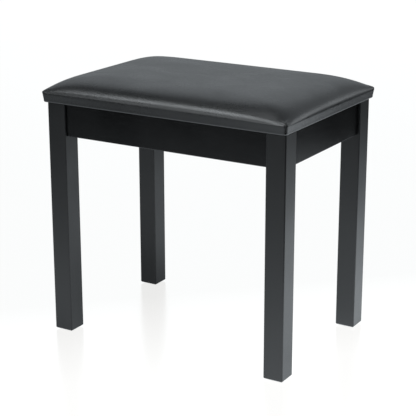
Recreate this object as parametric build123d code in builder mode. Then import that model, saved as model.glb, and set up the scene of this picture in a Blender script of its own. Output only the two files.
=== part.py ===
from build123d import *
import os
from math import sqrt

# Piano bench: four square legs, four set-back rails that form a shallow music
# compartment, and a padded seat that is the compartment's hinged lid.
# Millimetres, +Z up, front is -Y, origin on the floor under the middle.

os.makedirs("parts", exist_ok=True)

# ---------------------------------------------------------------- frame
frame_w = 490.0          # over the outer leg faces, along X
frame_d = 328.0          # over the outer leg faces, along Y
leg_s = 38.0             # leg section
leg_edge_r = 2.2         # eased long edges
leg_top_r = 1.2
leg_foot_chamfer = 1.8
leg_flat = 62.0          # u + v of the flat on the inner corner (u, v from the outer corner)
frame_top = 443.0        # top of legs and rails
glide_t = 2.5            # foot glide under each leg
rail_t = 18.0
rail_h = 60.0
rail_recess = 5.0        # rails sit this far behind the leg faces
rail_edge_r = 1.3
rail_bottom = frame_top - rail_h

# ---------------------------------------------------------------- compartment floor
floor_t = 3.2
floor_z = 390.0
groove_depth = 5.0
groove_play = 0.1

# ---------------------------------------------------------------- leg fastening
plate_t = 2.0
plate_h = 38.0
plate_z = 395.0
plate_diag = 79.4        # u + v of the plate's middle line across the corner
plate_end = 80.0         # where a flange ends, from the outer corner
bolt_z = plate_z + plate_h / 2
bolt_r = 4.0
bolt_wood_r = 3.5
bolt_start = 10.0        # from the outer leg corner, along the diagonal
bolt_end = 74.0
thread_pitch = 1.25
thread_depth = 0.55
plate_screw_u = 70.0
plate_screw_dz = 10.0    # above and below the bolt
plate_screw_r = 2.0
plate_screw_len = 13.0

# ---------------------------------------------------------------- hinges
hinge_x = 140.0
hinge_len = 50.0
hinge_t = 1.2
hinge_pin_r = 1.15
hinge_r = hinge_pin_r + hinge_t
hinge_leaf_w = 17.0      # from the axis to the leaf's free edge
hinge_y = frame_d / 2 - 1.3   # knuckles stand just behind the rear rail
leaf_sink = 2.0          # frame leaf below the rail's top, so that the lid closes low
hinge_z = frame_top - leaf_sink - hinge_t + hinge_r
hinge_play = 0.05        # lid knuckles run on the pin
knuckle_gap = 0.15
hinge_screw_r = 1.5
hinge_screw_head_r = 2.7
hinge_screw_len = 12.0

# ---------------------------------------------------------------- padded lid
lid_bottom = hinge_z + hinge_r           # underside of the dust cover
cloth_t = 0.6
vinyl_t = 1.0
board_t = 12.0
hem_z = lid_bottom + cloth_t             # underside of the wrapped vinyl
board_z = hem_z + vinyl_t
board_top = board_z + board_t
shoulder_z = 461.0
shoulder_x, shoulder_y = 251.5, 175.0    # half sizes at the shoulder line
skirt_x, skirt_y = 249.5, 173.5          # half sizes low on the edge band
hem_r = 1.5
hem_w = 34.0                             # vinyl wrapped under the board
corner_r = 7.0
crown_h = 30.0                           # middle of the pad above the shoulder
crown_w = 105.0                          # width of the rolled edge
cloth_x, cloth_y = 236.0, 159.0          # half sizes of the dust cover
bumper_r = 6.0

# derived
x0, y0 = -frame_w / 2, -frame_d / 2      # outer corner of the front left leg
rail_in_y = frame_d / 2 - rail_recess - rail_t
rail_in_x = frame_w / 2 - rail_recess - rail_t
rail_mid_y = rail_in_y + rail_t / 2
rail_mid_x = rail_in_x + rail_t / 2
rail_len_x = frame_w - 2 * leg_s
rail_len_y = frame_d - 2 * leg_s
leg_cx, leg_cy = frame_w / 2 - leg_s / 2, frame_d / 2 - leg_s / 2
bolt_axis = Axis((x0, y0, bolt_z), (1, 1, 0))
bolt_plane = Plane(origin=(x0, y0, bolt_z), x_dir=(1, 1, 0), z_dir=(1, -1, 0))


def on_diagonal(distance):
    """Plane square to the bolt of the front left leg, that far from the leg's outer corner."""
    step = distance / sqrt(2)
    return Plane(origin=(x0 + step, y0 + step, bolt_z), x_dir=(0, 0, 1), z_dir=(1, 1, 0))


# ================================================================ legs
with BuildPart() as leg_front_left:
    with BuildSketch(Plane((-leg_cx, -leg_cy, glide_t))):
        RectangleRounded(leg_s, leg_s, leg_edge_r)
    extrude(amount=frame_top - glide_t)
    chamfer(leg_front_left.faces().sort_by(Axis.Z)[0].edges(), leg_foot_chamfer)
    fillet(leg_front_left.faces().sort_by(Axis.Z)[-1].edges(), leg_top_r)
    # flat on the inner corner, facing the corner plate
    with BuildSketch(Plane((x0, y0, rail_bottom + 1.0))):
        with BuildLine():
            Polyline(
                (leg_flat - leg_s - 3, leg_s + 3),
                (leg_s + 3, leg_flat - leg_s - 3),
                (leg_s + 3, leg_s + 3),
                close=True,
            )
        make_face()
    extrude(amount=rail_h, mode=Mode.SUBTRACT)
    # hole for the wood thread of the hanger bolt
    with Locations(on_diagonal(leg_flat / sqrt(2))):
        Hole(bolt_wood_r + 0.05, depth=leg_flat / sqrt(2) - bolt_start + 0.5)
    # hole for the glide's nail
    with Locations(Plane((-leg_cx, -leg_cy, glide_t), z_dir=(0, 0, -1))):
        Hole(1.3, depth=15.0)

with BuildPart() as leg_front_right:
    mirror(leg_front_left.part, about=Plane.YZ)

with BuildPart() as leg_rear_left:
    mirror(leg_front_left.part, about=Plane.XZ)

with BuildPart() as leg_rear_right:
    mirror(leg_front_right.part, about=Plane.XZ)

# ================================================================ rails
long_rail_screws = [
    (side * (frame_w / 2 - plate_screw_u), bolt_z + up * plate_screw_dz)
    for side in (-1, 1)
    for up in (-1, 1)
]
short_rail_screws = [
    (side * (frame_d / 2 - plate_screw_u), bolt_z + up * plate_screw_dz)
    for side in (-1, 1)
    for up in (-1, 1)
]

with BuildPart() as front_rail:
    with BuildSketch(Plane((0, -rail_mid_y, rail_bottom))):
        Rectangle(rail_len_x, rail_t)
    extrude(amount=rail_h)
    fillet(front_rail.edges().filter_by(Axis.X), rail_edge_r)
    # groove for the compartment floor
    with BuildSketch(Plane((0, -rail_in_y, floor_z - groove_play))):
        Rectangle(rail_len_x, 2 * groove_depth)
    extrude(amount=floor_t + 2 * groove_play, mode=Mode.SUBTRACT)
    with Locations(*[Plane((x, -rail_in_y, z), z_dir=(0, 1, 0)) for x, z in long_rail_screws]):
        Hole(plate_screw_r + 0.05, depth=plate_screw_len - plate_t + 0.5)

with BuildPart() as rear_rail:
    mirror(front_rail.part, about=Plane.XZ)
    # seats for the two hinge leaves, open to the rear face
    with BuildSketch(Plane((0, 0, frame_top))):
        with Locations((-hinge_x, hinge_y - hinge_leaf_w / 2), (hinge_x, hinge_y - hinge_leaf_w / 2)):
            Rectangle(hinge_len + 0.4, hinge_leaf_w + 0.4)
    extrude(amount=-(leaf_sink + hinge_t), mode=Mode.SUBTRACT)
    with Locations(
        *[
            (side * hinge_x + dx, hinge_y - dy, frame_top - leaf_sink - hinge_t)
            for side in (-1, 1)
            for dx, dy in ((-17, 11.0), (0, 13.0), (17, 11.0))
        ]
    ):
        Hole(hinge_screw_r + 0.05, depth=hinge_screw_len)

with BuildPart() as left_rail:
    with BuildSketch(Plane((-rail_mid_x, 0, rail_bottom))):
        Rectangle(rail_t, rail_len_y)
    extrude(amount=rail_h)
    fillet(left_rail.edges().filter_by(Axis.Y), rail_edge_r)
    with BuildSketch(Plane((-rail_in_x, 0, floor_z - groove_play))):
        Rectangle(2 * groove_depth, rail_len_y)
    extrude(amount=floor_t + 2 * groove_play, mode=Mode.SUBTRACT)
    with Locations(*[Plane((-rail_in_x, y, z), z_dir=(1, 0, 0)) for y, z in short_rail_screws]):
        Hole(plate_screw_r + 0.05, depth=plate_screw_len - plate_t + 0.5)

with BuildPart() as right_rail:
    mirror(left_rail.part, about=Plane.YZ)

# ================================================================ compartment floor
floor_x = rail_in_x + groove_depth - 0.4
floor_y = rail_in_y + groove_depth - 0.4
notch_x = frame_w / 2 - leg_s - 0.3
notch_y = frame_d / 2 - leg_s - 0.3
with BuildPart() as compartment_floor:
    with BuildSketch(Plane.XY.offset(floor_z)):
        Rectangle(2 * floor_x, 2 * floor_y)
        with Locations(*[(sx * (notch_x + 20), sy * (notch_y + 20)) for sx in (-1, 1) for sy in (-1, 1)]):
            Rectangle(40, 40, mode=Mode.SUBTRACT)
    extrude(amount=floor_t)

# ================================================================ corner plates
with BuildPart() as corner_plate_front_left:
    with BuildSketch(Plane((x0, y0, plate_z))):
        with BuildLine():
            inner = rail_recess + rail_t + plate_t / 2
            FilletPolyline(
                (plate_end, inner),
                (plate_diag - inner, inner),
                (inner, plate_diag - inner),
                (inner, plate_end),
                radius=3.0,
            )
        trace(line_width=plate_t)
    extrude(amount=plate_h)
    with Locations(on_diagonal(plate_diag / sqrt(2) + plate_t)):
        Hole(bolt_r + 0.5, depth=2 * plate_t)
    with Locations(
        *[
            Plane((x0 + plate_screw_u, y0 + inner + plate_t, bolt_z + up * plate_screw_dz), z_dir=(0, 1, 0))
            for up in (-1, 1)
        ],
        *[
            Plane((x0 + inner + plate_t, y0 + plate_screw_u, bolt_z + up * plate_screw_dz), z_dir=(1, 0, 0))
            for up in (-1, 1)
        ],
    ):
        Hole(plate_screw_r + 0.25, depth=2 * plate_t)

with BuildPart() as corner_plate_front_right:
    mirror(corner_plate_front_left.part, about=Plane.YZ)

with BuildPart() as corner_plate_rear_left:
    mirror(corner_plate_front_left.part, about=Plane.XZ)

with BuildPart() as corner_plate_rear_right:
    mirror(corner_plate_front_right.part, about=Plane.XZ)

# ================================================================ hanger bolts, washers, nuts
flat_face = leg_flat / sqrt(2)
thread_start = flat_face + 1.0
thread_turns = int((bolt_end - 1.0 - thread_start) / thread_pitch)
bolt_outline = [(bolt_start, 0), (bolt_start + 5, bolt_wood_r), (flat_face, bolt_wood_r), (flat_face, bolt_r), (thread_start, bolt_r)]
for turn in range(thread_turns):
    ridge = thread_start + turn * thread_pitch
    bolt_outline += [(ridge + thread_pitch / 2, bolt_r - thread_depth), (ridge + thread_pitch, bolt_r)]
bolt_outline += [(bolt_end - 0.4, bolt_r - 0.6), (bolt_end, bolt_r - 1.0), (bolt_end, 0)]

with BuildPart() as hanger_bolts:
    with BuildSketch(bolt_plane):
        with BuildLine():
            Polyline(*bolt_outline, close=True)
        make_face()
    revolve(axis=bolt_axis)
    mirror(about=Plane.YZ)
    mirror(about=Plane.XZ)

washer_at = plate_diag / sqrt(2) + plate_t / 2
washer_t = 1.6
spring_t = 2.0
nut_t = 6.5

with BuildPart() as flat_washers:
    with BuildSketch(on_diagonal(washer_at)):
        Circle(8.0)
        Circle(bolt_r + 0.2, mode=Mode.SUBTRACT)
    extrude(amount=washer_t)
    mirror(about=Plane.YZ)
    mirror(about=Plane.XZ)

with BuildPart() as spring_washers:
    with BuildSketch(on_diagonal(washer_at + washer_t)):
        Circle(6.8)
        Circle(bolt_r + 0.15, mode=Mode.SUBTRACT)
        # the split of the washer's coil
        with Locations(Location((0, 5.5), 15)):
            Rectangle(0.8, 5.0, mode=Mode.SUBTRACT)
    extrude(amount=spring_t)
    mirror(about=Plane.YZ)
    mirror(about=Plane.XZ)

with BuildPart() as hex_nuts:
    with BuildSketch(on_diagonal(washer_at + washer_t + spring_t)):
        RegularPolygon(radius=6.5, side_count=6, major_radius=False)
    extrude(amount=nut_t)
    # the corners are turned off at both ends
    with BuildSketch(bolt_plane):
        nut_a = washer_at + washer_t + spring_t
        with BuildLine():
            Polyline(
                (nut_a, 0),
                (nut_a, 6.3),
                (nut_a + 0.8, 7.6),
                (nut_a + nut_t - 0.8, 7.6),
                (nut_a + nut_t, 6.3),
                (nut_a + nut_t, 0),
                close=True,
            )
        make_face()
    revolve(axis=bolt_axis, mode=Mode.INTERSECT)
    with Locations(on_diagonal(washer_at + washer_t + spring_t + nut_t)):
        Hole(bolt_r + 0.02, depth=2 * nut_t)
    mirror(about=Plane.YZ)
    mirror(about=Plane.XZ)

# ================================================================ corner plate screws
# pan head, cross recess; head on +Z, bearing face at z = 0
with BuildPart() as pan_screw:
    with BuildSketch(Plane.XZ):
        with BuildLine():
            Polyline((0, 2.3), (0, -plate_screw_len), (plate_screw_r, -plate_screw_len + 4), (plate_screw_r, 0), (3.9, 0), (3.9, 1.0))
            ThreePointArc((3.9, 1.0), (2.6, 2.0), (0, 2.3))
        make_face()
    revolve(axis=Axis.Z)
    with BuildSketch(Plane.XY.offset(2.4)):
        Rectangle(4.2, 0.8)
        Rectangle(0.8, 4.2)
    extrude(amount=-1.5, mode=Mode.SUBTRACT)

with BuildPart() as corner_plate_screws:
    seat = rail_recess + rail_t + plate_t
    with Locations(
        *[
            Plane((x0 + plate_screw_u, y0 + seat, bolt_z + up * plate_screw_dz), z_dir=(0, 1, 0))
            for up in (-1, 1)
        ],
        *[
            Plane((x0 + seat, y0 + plate_screw_u, bolt_z + up * plate_screw_dz), z_dir=(1, 0, 0))
            for up in (-1, 1)
        ],
    ):
        add(pan_screw.part)
    mirror(about=Plane.YZ)
    mirror(about=Plane.XZ)

# ================================================================ foot glides
with BuildPart() as foot_glides:
    with BuildSketch(Plane.XY):
        with Locations(*[(sx * leg_cx, sy * leg_cy) for sx in (-1, 1) for sy in (-1, 1)]):
            Circle(11.0)
    extrude(amount=glide_t)
    fillet(foot_glides.faces().group_by(Axis.Z)[0].edges(), 1.0)
    # recess in the top for the nail's head
    with Locations(*[(sx * leg_cx, sy * leg_cy, glide_t) for sx in (-1, 1) for sy in (-1, 1)]):
        Hole(3.3, depth=1.2)

with BuildPart() as glide_nails:
    with BuildSketch(Plane((-leg_cx, -leg_cy, 0), x_dir=(1, 0, 0), z_dir=(0, -1, 0))):
        with BuildLine():
            Polyline(
                (0, glide_t - 1.15),
                (3.1, glide_t - 1.15),
                (3.1, glide_t - 0.1),
                (1.25, glide_t - 0.1),
                (1.25, 14.0),
                (0, 17.0),
                close=True,
            )
        make_face()
    revolve(axis=Axis((-leg_cx, -leg_cy, 0), (0, 0, 1)))
    mirror(about=Plane.YZ)
    mirror(about=Plane.XZ)

# ================================================================ lid bumpers
with BuildPart() as lid_bumpers:
    with BuildSketch(Plane.XY.offset(frame_top)):
        with Locations(*[(sx * leg_cx, sy * leg_cy) for sx in (-1, 1) for sy in (-1, 1)]):
            Circle(bumper_r)
    extrude(amount=lid_bottom - frame_top - 0.05)
    fillet(lid_bumpers.faces().group_by(Axis.Z)[-1].edges(), 0.6)

# ================================================================ hinges
# five knuckles: three on the frame leaf, two on the lid leaf
knuckle = hinge_len / 5
frame_knuckles = [-2 * knuckle, 0.0, 2 * knuckle]
lid_knuckles = [-knuckle, knuckle]
hinge_axis_left = Plane((-hinge_x, hinge_y, hinge_z), x_dir=(0, 1, 0), z_dir=(1, 0, 0))
leaf_screws = ((-17, 11.0), (0, 13.0), (17, 11.0))

with BuildPart() as left_hinge_frame_leaf:
    with BuildSketch(Plane((-hinge_x, hinge_y, hinge_z - hinge_r))):
        with Locations((0, -hinge_leaf_w / 2)):
            Rectangle(hinge_len, hinge_leaf_w)
        with Locations(*[(x, 0) for x in lid_knuckles]):
            Rectangle(knuckle + 2 * knuckle_gap, 2 * (hinge_r + 0.35), mode=Mode.SUBTRACT)
    extrude(amount=hinge_t)
    fillet(left_hinge_frame_leaf.edges().filter_by(Axis.Z).group_by(Axis.Y)[0], 2.5)
    with BuildSketch(*[hinge_axis_left.offset(x - knuckle / 2) for x in frame_knuckles]):
        Circle(hinge_r)
    extrude(amount=knuckle)
    with BuildSketch(hinge_axis_left.offset(-hinge_len / 2)):
        Circle(hinge_pin_r)
    extrude(amount=hinge_len, mode=Mode.SUBTRACT)
    with Locations(*[(-hinge_x + dx, hinge_y - dy, frame_top - leaf_sink) for dx, dy in leaf_screws]):
        CounterSinkHole(hinge_screw_r + 0.15, hinge_screw_head_r + 0.1, depth=2 * hinge_t)

with BuildPart() as left_hinge_lid_leaf:
    with BuildSketch(Plane((-hinge_x, hinge_y, hinge_z + hinge_r - hinge_t))):
        with Locations((0, -hinge_leaf_w / 2)):
            Rectangle(hinge_len, hinge_leaf_w)
        with Locations(*[(x, 0) for x in frame_knuckles]):
            Rectangle(knuckle + 2 * knuckle_gap, 2 * (hinge_r + 0.35), mode=Mode.SUBTRACT)
    extrude(amount=hinge_t)
    fillet(left_hinge_lid_leaf.edges().filter_by(Axis.Z).group_by(Axis.Y)[0], 2.5)
    with BuildSketch(*[hinge_axis_left.offset(x - knuckle / 2 + knuckle_gap) for x in lid_knuckles]):
        Circle(hinge_r)
    extrude(amount=knuckle - 2 * knuckle_gap)
    with BuildSketch(hinge_axis_left.offset(-hinge_len / 2)):
        Circle(hinge_pin_r + hinge_play)
    extrude(amount=hinge_len, mode=Mode.SUBTRACT)
    with Locations(
        *[
            Plane((-hinge_x + dx, hinge_y - dy, lid_bottom - hinge_t), z_dir=(0, 0, -1))
            for dx, dy in leaf_screws
        ]
    ):
        CounterSinkHole(hinge_screw_r + 0.15, hinge_screw_head_r + 0.1, depth=2 * hinge_t)

with BuildPart() as left_hinge_pin:
    with BuildSketch(hinge_axis_left.offset(-hinge_len / 2 - 0.8)):
        Circle(hinge_pin_r)
    extrude(amount=hinge_len + 1.6)
    with BuildSketch(hinge_axis_left.offset(-hinge_len / 2 - 0.8), hinge_axis_left.offset(hinge_len / 2)):
        Circle(hinge_pin_r + 0.55)
    extrude(amount=0.8)
    fillet(left_hinge_pin.faces().sort_by(Axis.X)[0].edges(), 0.4)
    fillet(left_hinge_pin.faces().sort_by(Axis.X)[-1].edges(), 0.4)

with BuildPart() as right_hinge_frame_leaf:
    mirror(left_hinge_frame_leaf.part, about=Plane.YZ)

with BuildPart() as right_hinge_lid_leaf:
    mirror(left_hinge_lid_leaf.part, about=Plane.YZ)

with BuildPart() as right_hinge_pin:
    mirror(left_hinge_pin.part, about=Plane.YZ)

# countersunk screw, cross recess; head flush at z = 0, pointing down
with BuildPart() as flat_screw:
    with BuildSketch(Plane.XZ):
        with BuildLine():
            Polyline(
                (0, -0.02),
                (hinge_screw_head_r, -0.02),
                (hinge_screw_r, -0.02 - (hinge_screw_head_r - hinge_screw_r)),
                (hinge_screw_r, -hinge_screw_len + 3.5),
                (0, -hinge_screw_len),
                close=True,
            )
        make_face()
    revolve(axis=Axis.Z)
    with BuildSketch(Plane.XY):
        Rectangle(3.0, 0.6)
        Rectangle(0.6, 3.0)
    extrude(amount=-0.9, mode=Mode.SUBTRACT)

with BuildPart() as hinge_frame_screws:
    with Locations(
        *[(side * hinge_x + dx, hinge_y - dy, frame_top - leaf_sink) for side in (-1, 1) for dx, dy in leaf_screws]
    ):
        add(flat_screw.part)

with BuildPart() as hinge_lid_screws:
    with Locations(
        *[
            Plane((side * hinge_x + dx, hinge_y - dy, lid_bottom - hinge_t), z_dir=(0, 0, -1))
            for side in (-1, 1)
            for dx, dy in leaf_screws
        ]
    ):
        add(flat_screw.part)

# ================================================================ padded lid
lid_screw_points = [(side * hinge_x + dx, hinge_y - dy) for side in (-1, 1) for dx, dy in leaf_screws]


def crown(inset):
    """Height of the pad above its shoulder, that far in from the shoulder line."""
    return crown_h * sqrt(1 - (1 - min(inset / crown_w, 1.0)) ** 2.7)


# level, half X, half Y, corner radius of each section, bottom to top
pad_outside = [
    (hem_z, skirt_x - hem_r, skirt_y - hem_r, corner_r - 2.0),
    (hem_z + 0.7 * hem_r, skirt_x - 0.3 * hem_r, skirt_y - 0.3 * hem_r, corner_r - 1.0),
    (hem_z + 1.6 * hem_r, skirt_x, skirt_y, corner_r),
    (shoulder_z, shoulder_x, shoulder_y, corner_r),
]
for inset in (0.5, 1.5, 3.5, 7.0, 12.0, 20.0, 32.0, 50.0, 75.0, 105.0):
    pad_outside.append(
        (shoulder_z + crown(inset), shoulder_x - inset, shoulder_y - inset, min(corner_r + 0.55 * inset, 31.0))
    )
# the same outline inside the vinyl, from the board's underside up
pad_inside = [(board_z, skirt_x - hem_r, skirt_y - hem_r, corner_r - 2.0)]
for level, half_x, half_y, radius in pad_outside[2:]:
    pad_inside.append((level - vinyl_t * (level > shoulder_z), half_x - vinyl_t, half_y - vinyl_t, radius - vinyl_t))

with BuildPart() as seat_cover:
    for level, half_x, half_y, radius in pad_outside:
        with BuildSketch(Plane.XY.offset(level)):
            RectangleRounded(2 * half_x, 2 * half_y, radius)
    loft(ruled=True)
    for level, half_x, half_y, radius in pad_inside:
        with BuildSketch(Plane.XY.offset(level)):
            RectangleRounded(2 * half_x, 2 * half_y, radius)
    loft(ruled=True, mode=Mode.SUBTRACT)
    # the wrapped hem leaves the middle of the board bare
    with BuildSketch(Plane.XY.offset(hem_z)):
        RectangleRounded(2 * (skirt_x - hem_w), 2 * (skirt_y - hem_w), 3.0)
    extrude(amount=vinyl_t, mode=Mode.SUBTRACT)
    with Locations(*[(x, y, board_z) for x, y in lid_screw_points]):
        Hole(hinge_screw_r + 0.1, depth=vinyl_t + 0.2)

with BuildPart() as seat_board:
    with BuildSketch(Plane.XY.offset(board_z)):
        RectangleRounded(2 * (skirt_x - hem_r - 0.4), 2 * (skirt_y - hem_r - 0.4), corner_r - 2.4)
    extrude(amount=board_t)
    fillet(seat_board.faces().sort_by(Axis.Z)[-1].edges(), 2.0)
    with Locations(*[Plane((x, y, board_z), z_dir=(0, 0, -1)) for x, y in lid_screw_points]):
        Hole(hinge_screw_r + 0.05, depth=hinge_screw_len)

with BuildPart() as seat_foam:
    low = pad_inside[1]
    high = pad_inside[2]
    share = (board_top - low[0]) / (high[0] - low[0])
    start = tuple(a + share * (b - a) for a, b in zip(low, high))
    for level, half_x, half_y, radius in [start] + pad_inside[2:]:
        with BuildSketch(Plane.XY.offset(level)):
            RectangleRounded(2 * (half_x - 0.05), 2 * (half_y - 0.05), radius)
    loft(ruled=True)

with BuildPart() as dust_cover:
    with BuildSketch(Plane.XY.offset(lid_bottom)):
        RectangleRounded(2 * cloth_x, 2 * cloth_y, 4.0)
        with Locations(*lid_screw_points):
            Circle(hinge_screw_r + 0.1, mode=Mode.SUBTRACT)
    extrude(amount=cloth_t)

# staples through cloth and hem into the board, crown against the cloth
staple_w, staple_wire, staple_leg = 10.0, 0.7, 7.0
with BuildPart() as staple:
    with BuildSketch(Plane.XZ):
        Rectangle(staple_w, staple_leg, align=(Align.CENTER, Align.MIN))
        with Locations((0, staple_wire)):
            Rectangle(staple_w - 2 * staple_wire, staple_leg, align=(Align.CENTER, Align.MIN), mode=Mode.SUBTRACT)
    extrude(amount=staple_wire / 2, both=True)

staple_z = lid_bottom - staple_wire
staple_x = [-206, -174, -90, -54, -18, 18, 54, 90, 174, 206]
staple_y = [-112, -80, -48, -16, 16, 48, 80, 112]
with BuildPart() as cover_staples:
    with Locations(*[Location((x, sy * (cloth_y - 6), staple_z)) for x in staple_x for sy in (-1, 1)]):
        add(staple.part)
    with Locations(*[Location((sx * (cloth_x - 6), y, staple_z), (0, 0, 90)) for y in staple_y for sx in (-1, 1)]):
        add(staple.part)

# ================================================================ write the pieces
pieces = {
    "leg_front_left": leg_front_left,
    "leg_front_right": leg_front_right,
    "leg_rear_left": leg_rear_left,
    "leg_rear_right": leg_rear_right,
    "front_rail": front_rail,
    "rear_rail": rear_rail,
    "left_rail": left_rail,
    "right_rail": right_rail,
    "compartment_floor": compartment_floor,
    "corner_plate_front_left": corner_plate_front_left,
    "corner_plate_front_right": corner_plate_front_right,
    "corner_plate_rear_left": corner_plate_rear_left,
    "corner_plate_rear_right": corner_plate_rear_right,
    "corner_plate_screws": corner_plate_screws,
    "hanger_bolts": hanger_bolts,
    "flat_washers": flat_washers,
    "spring_washers": spring_washers,
    "hex_nuts": hex_nuts,
    "foot_glides": foot_glides,
    "glide_nails": glide_nails,
    "lid_bumpers": lid_bumpers,
    "left_hinge_frame_leaf": left_hinge_frame_leaf,
    "left_hinge_lid_leaf": left_hinge_lid_leaf,
    "left_hinge_pin": left_hinge_pin,
    "right_hinge_frame_leaf": right_hinge_frame_leaf,
    "right_hinge_lid_leaf": right_hinge_lid_leaf,
    "right_hinge_pin": right_hinge_pin,
    "hinge_frame_screws": hinge_frame_screws,
    "hinge_lid_screws": hinge_lid_screws,
    "seat_board": seat_board,
    "seat_foam": seat_foam,
    "seat_cover": seat_cover,
    "dust_cover": dust_cover,
    "cover_staples": cover_staples,
}
for name, piece in pieces.items():
    piece.part.label = name
    export_step(piece.part, f"parts/{name}.step")
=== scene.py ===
import math

import bpy
import numpy as np
from mathutils import Matrix, Vector


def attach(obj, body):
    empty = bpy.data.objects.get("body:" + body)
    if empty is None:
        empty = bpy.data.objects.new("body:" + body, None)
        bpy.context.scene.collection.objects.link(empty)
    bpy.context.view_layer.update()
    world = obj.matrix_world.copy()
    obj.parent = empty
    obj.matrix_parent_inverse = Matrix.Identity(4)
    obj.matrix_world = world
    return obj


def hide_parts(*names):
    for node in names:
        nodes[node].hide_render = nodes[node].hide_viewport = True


# Piano bench: satin black wood frame, crowned vinyl seat that is the lid of a music compartment.
# Metres, +Z up, front is -Y, origin on the floor under the middle.

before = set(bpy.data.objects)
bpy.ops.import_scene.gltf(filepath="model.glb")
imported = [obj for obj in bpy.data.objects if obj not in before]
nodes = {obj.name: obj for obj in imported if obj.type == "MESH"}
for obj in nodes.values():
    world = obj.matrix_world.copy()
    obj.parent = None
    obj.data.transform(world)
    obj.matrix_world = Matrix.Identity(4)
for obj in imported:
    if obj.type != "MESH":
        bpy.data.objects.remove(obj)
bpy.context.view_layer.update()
scene = bpy.context.scene
mm = 0.001


# ---------------------------------------------------------------- camera
FOCAL_PX = 1292.635          # for an image 416 pixels wide
RIGHT = Vector((0.8612430550, 0.5081888446, 0.0021209286))
DOWN = Vector((0.1482774927, -0.2472941194, -0.9575277561))
AHEAD = Vector((-0.4860804309, 0.8249786159, -0.2883333106))

lens = bpy.data.cameras.new("camera")
lens.sensor_fit = "HORIZONTAL"
lens.sensor_width = 36.0
lens.lens = FOCAL_PX * 36.0 / 416.0
lens.shift_x = -14.0 / 416.0
lens.shift_y = -11.0 / 416.0
lens.clip_start, lens.clip_end = 0.05, 60.0
camera = bpy.data.objects.new("camera", lens)
scene.collection.objects.link(camera)
turn = Matrix((RIGHT, -DOWN, -AHEAD)).transposed()
camera.matrix_world = Matrix.Translation((1.195233, -1.982993, 0.955988)) @ turn.to_4x4()
scene.camera = camera
scene.view_settings.view_transform = "Standard"
scene.view_settings.look = "None"


# ---------------------------------------------------------------- material kit
class Tree:
    """Small helper that adds nodes and links them."""

    def __init__(self, material):
        self.tree = material.node_tree
        self.tree.nodes.clear()

    def add(self, kind, inputs=None, **props):
        node = self.tree.nodes.new(kind)
        for key, value in props.items():
            setattr(node, key, value)
        for key, value in (inputs or {}).items():
            socket = node.inputs[key]
            if isinstance(value, bpy.types.NodeSocket):
                self.tree.links.new(value, socket)
            else:
                socket.default_value = value
        return node

    def math(self, operation, a, b=0.0, clamp=False):
        return self.add("ShaderNodeMath", {0: a, 1: b}, operation=operation, use_clamp=clamp).outputs[0]

    def remap(self, value, low, high, to_low, to_high, smooth=False):
        return self.add(
            "ShaderNodeMapRange",
            {"Value": value, "From Min": low, "From Max": high, "To Min": to_low, "To Max": to_high},
            interpolation_type="SMOOTHSTEP" if smooth else "LINEAR",
        ).outputs["Result"]

    def mix(self, factor, a, b):
        node = self.add("ShaderNodeMix", data_type="RGBA")
        for index, value in ((0, factor), (6, a), (7, b)):
            if isinstance(value, bpy.types.NodeSocket):
                self.tree.links.new(value, node.inputs[index])
            else:
                node.inputs[index].default_value = value
        return node.outputs[2]

    def noise(self, vector, scale, detail=2.0, rough=0.5, distortion=0.0):
        return self.add(
            "ShaderNodeTexNoise",
            {"Vector": vector, "Scale": scale, "Detail": detail, "Roughness": rough, "Distortion": distortion},
        ).outputs["Fac"]

    def stretch(self, vector, scale, place=(0.0, 0.0, 0.0), turn=(0.0, 0.0, 0.0)):
        return self.add(
            "ShaderNodeMapping", {"Vector": vector, "Scale": scale, "Location": place, "Rotation": turn}
        ).outputs[0]

    def bump(self, height, strength, distance, normal=None):
        inputs = {"Height": height, "Strength": strength, "Distance": distance}
        if normal is not None:
            inputs["Normal"] = normal
        return self.add("ShaderNodeBump", inputs).outputs[0]

    def finish(self, shader):
        self.add("ShaderNodeOutputMaterial", {"Surface": shader})


def grey(value, warm=0.0):
    return (value * (1 + warm), value, value * (1 - warm), 1.0)


def new_material(name):
    made = bpy.data.materials.new(name)
    made.use_nodes = True
    return made, Tree(made)


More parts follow.
